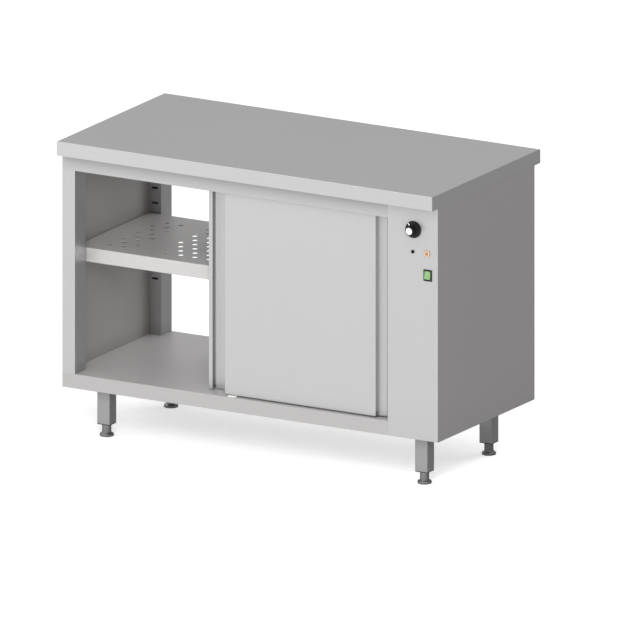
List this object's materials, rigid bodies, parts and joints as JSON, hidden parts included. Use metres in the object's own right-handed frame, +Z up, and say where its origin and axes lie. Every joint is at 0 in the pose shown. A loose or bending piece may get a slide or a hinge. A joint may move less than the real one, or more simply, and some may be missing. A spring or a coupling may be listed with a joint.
{
  "type": "plate warmer cabinet",
  "caption": "Heated pass-through cabinet in satin steel with sliding doors front and rear, a perforated shelf, levelling feet and a control column.",
  "frame": {"origin": "on the floor, under the middle of the worktop", "axes": "+X to the right along the worktop, +Y to the rear, +Z up; the controls are at the front right"},
  "size_m": [1.2, 0.6, 0.85],
  "materials": {
    "satin_steel": "fine satin, brushed along the long side",
    "core_board": "plain",
    "track_aluminium": "mill",
    "white_nylon": "matte",
    "black_plastic": "fine matte",
    "foot_metal": "satin",
    "control_body": "matte",
    "silver_cap": "satin",
    "orange_lens": "glossy, translucent",
    "green_rocker": "glossy, translucent",
    "motor_iron": "painted",
    "element_sheath": "heat tinted"
  },
  "bodies": {
    "cabinet": {"worktop": "satin_steel", "worktop_core": "core_board", "roof_panel": "satin_steel", "left_side_panel": "satin_steel", "right_side_panel": "satin_steel", "floor_pan": "satin_steel", "base_crossmembers": "satin_steel", "front_top_rail": "satin_steel", "rear_top_rail": "satin_steel", "front_left_post": "satin_steel", "rear_left_post": "satin_steel", "front_shelf_strip": "satin_steel", "rear_shelf_strip": "satin_steel", "chamber_partition": "satin_steel", "control_panel": "satin_steel", "rear_service_panel": "satin_steel", "front_door_track": "track_aluminium", "rear_door_track": "track_aluminium", "door_guides": "white_nylon", "front_left_leg": "satin_steel", "front_right_leg": "satin_steel", "rear_left_leg": "satin_steel", "rear_right_leg": "satin_steel", "leg_inserts": "black_plastic", "shelf_brackets": "satin_steel", "thermostat": "control_body", "reset_thermostat": "control_body", "pilot_lamp": "orange_lens", "switch_frame": "black_plastic", "fan_housing": "satin_steel", "fan_motor": "motor_iron", "heating_element": "element_sheath", "cable_gland": "black_plastic", "panel_screws": "foot_metal"},
    "front_outer_door": {"front_outer_door": "satin_steel", "front_outer_hangers": "satin_steel"},
    "front_outer_left_roller": {"front_outer_left_roller": "white_nylon"},
    "front_outer_right_roller": {"front_outer_right_roller": "white_nylon"},
    "front_inner_door": {"front_inner_door": "satin_steel", "front_inner_hangers": "satin_steel"},
    "front_inner_left_roller": {"front_inner_left_roller": "white_nylon"},
    "front_inner_right_roller": {"front_inner_right_roller": "white_nylon"},
    "rear_outer_door": {"rear_outer_door": "satin_steel", "rear_outer_hangers": "satin_steel"},
    "rear_outer_left_roller": {"rear_outer_left_roller": "white_nylon"},
    "rear_outer_right_roller": {"rear_outer_right_roller": "white_nylon"},
    "rear_inner_door": {"rear_inner_door": "satin_steel", "rear_inner_hangers": "satin_steel"},
    "rear_inner_left_roller": {"rear_inner_left_roller": "white_nylon"},
    "rear_inner_right_roller": {"rear_inner_right_roller": "white_nylon"},
    "knob": {"thermostat_knob": "black_plastic", "knob_cap": "silver_cap"},
    "rocker": {"rocker_switch": "green_rocker"},
    "reset": {"reset_button": "black_plastic"},
    "shelf": {"shelf": "satin_steel"},
    "front_left_foot": {"front_left_foot": "foot_metal"},
    "front_right_foot": {"front_right_foot": "foot_metal"},
    "rear_left_foot": {"rear_left_foot": "foot_metal"},
    "rear_right_foot": {"rear_right_foot": "foot_metal"},
    "impeller": {"fan_impeller": "satin_steel"}
  },
  "joints": [
    {"name": "front_outer_door_slide", "type": "slide", "parent": "cabinet", "child": "front_outer_door", "axis": [1, 0, 0], "range_m": [-0.471, 0]},
    {"name": "front_outer_left_roller_spin", "type": "hinge", "parent": "front_outer_door", "child": "front_outer_left_roller", "pos_m": [-0.028, -0.2422, 0.7923], "axis": [0, 1, 0], "continuous": true},
    {"name": "front_outer_right_roller_spin", "type": "hinge", "parent": "front_outer_door", "child": "front_outer_right_roller", "pos_m": [0.385, -0.2422, 0.7923], "axis": [0, 1, 0], "continuous": true},
    {"name": "front_inner_door_slide", "type": "slide", "parent": "cabinet", "child": "front_inner_door", "axis": [1, 0, 0], "range_m": [-0.4045, 0.0665]},
    {"name": "front_inner_left_roller_spin", "type": "hinge", "parent": "front_inner_door", "child": "front_inner_left_roller", "pos_m": [-0.0945, -0.2162, 0.7923], "axis": [0, 1, 0], "continuous": true},
    {"name": "front_inner_right_roller_spin", "type": "hinge", "parent": "front_inner_door", "child": "front_inner_right_roller", "pos_m": [0.3185, -0.2162, 0.7923], "axis": [0, 1, 0], "continuous": true},
    {"name": "rear_outer_door_slide", "type": "slide", "parent": "cabinet", "child": "rear_outer_door", "axis": [1, 0, 0], "range_m": [-0.471, 0]},
    {"name": "rear_outer_left_roller_spin", "type": "hinge", "parent": "rear_outer_door", "child": "rear_outer_left_roller", "pos_m": [-0.028, 0.2422, 0.7923], "axis": [0, 1, 0], "continuous": true},
    {"name": "rear_outer_right_roller_spin", "type": "hinge", "parent": "rear_outer_door", "child": "rear_outer_right_roller", "pos_m": [0.385, 0.2422, 0.7923], "axis": [0, 1, 0], "continuous": true},
    {"name": "rear_inner_door_slide", "type": "slide", "parent": "cabinet", "child": "rear_inner_door", "axis": [1, 0, 0], "range_m": [-0.4045, 0.0665]},
    {"name": "rear_inner_left_roller_spin", "type": "hinge", "parent": "rear_inner_door", "child": "rear_inner_left_roller", "pos_m": [-0.0945, 0.2162, 0.7923], "axis": [0, 1, 0], "continuous": true},
    {"name": "rear_inner_right_roller_spin", "type": "hinge", "parent": "rear_inner_door", "child": "rear_inner_right_roller", "pos_m": [0.3185, 0.2162, 0.7923], "axis": [0, 1, 0], "continuous": true},
    {"name": "knob_turn", "type": "hinge", "parent": "cabinet", "child": "knob", "pos_m": [0.522, -0.278, 0.741], "axis": [0, 1, 0], "range_deg": [0, 270]},
    {"name": "rocker_tilt", "type": "hinge", "parent": "cabinet", "child": "rocker", "pos_m": [0.568, -0.266, 0.615], "axis": [1, 0, 0], "range_deg": [0, 16]},
    {"name": "reset_press", "type": "slide", "parent": "cabinet", "child": "reset", "axis": [0, 1, 0], "range_m": [0, 0.002], "stiffness_N_per_m": 400},
    {"name": "shelf_lift", "type": "slide", "parent": "cabinet", "child": "shelf", "axis": [0, 0, 1], "range_m": [0, 0.03]},
    {"name": "front_left_foot_level", "type": "slide", "parent": "cabinet", "child": "front_left_foot", "axis": [0, 0, -1], "range_m": [0, 0.025]},
    {"name": "front_right_foot_level", "type": "slide", "parent": "cabinet", "child": "front_right_foot", "axis": [0, 0, -1], "range_m": [0, 0.025]},
    {"name": "rear_left_foot_level", "type": "slide", "parent": "cabinet", "child": "rear_left_foot", "axis": [0, 0, -1], "range_m": [0, 0.025]},
    {"name": "rear_right_foot_level", "type": "slide", "parent": "cabinet", "child": "rear_right_foot", "axis": [0, 0, -1], "range_m": [0, 0.025]},
    {"name": "fan_spin", "type": "hinge", "parent": "cabinet", "child": "impeller", "pos_m": [0.48, 0, 0.335], "axis": [1, 0, 0], "continuous": true}
  ],
  "couplings": [
    {"joint": "front_outer_left_roller_spin", "follows": "front_outer_door_slide", "rad_per_m": 100},
    {"joint": "front_outer_right_roller_spin", "follows": "front_outer_door_slide", "rad_per_m": 100},
    {"joint": "front_inner_left_roller_spin", "follows": "front_inner_door_slide", "rad_per_m": 100},
    {"joint": "front_inner_right_roller_spin", "follows": "front_inner_door_slide", "rad_per_m": 100},
    {"joint": "rear_outer_left_roller_spin", "follows": "rear_outer_door_slide", "rad_per_m": 100},
    {"joint": "rear_outer_right_roller_spin", "follows": "rear_outer_door_slide", "rad_per_m": 100},
    {"joint": "rear_inner_left_roller_spin", "follows": "rear_inner_door_slide", "rad_per_m": 100},
    {"joint": "rear_inner_right_roller_spin", "follows": "rear_inner_door_slide", "rad_per_m": 100}
  ]
}
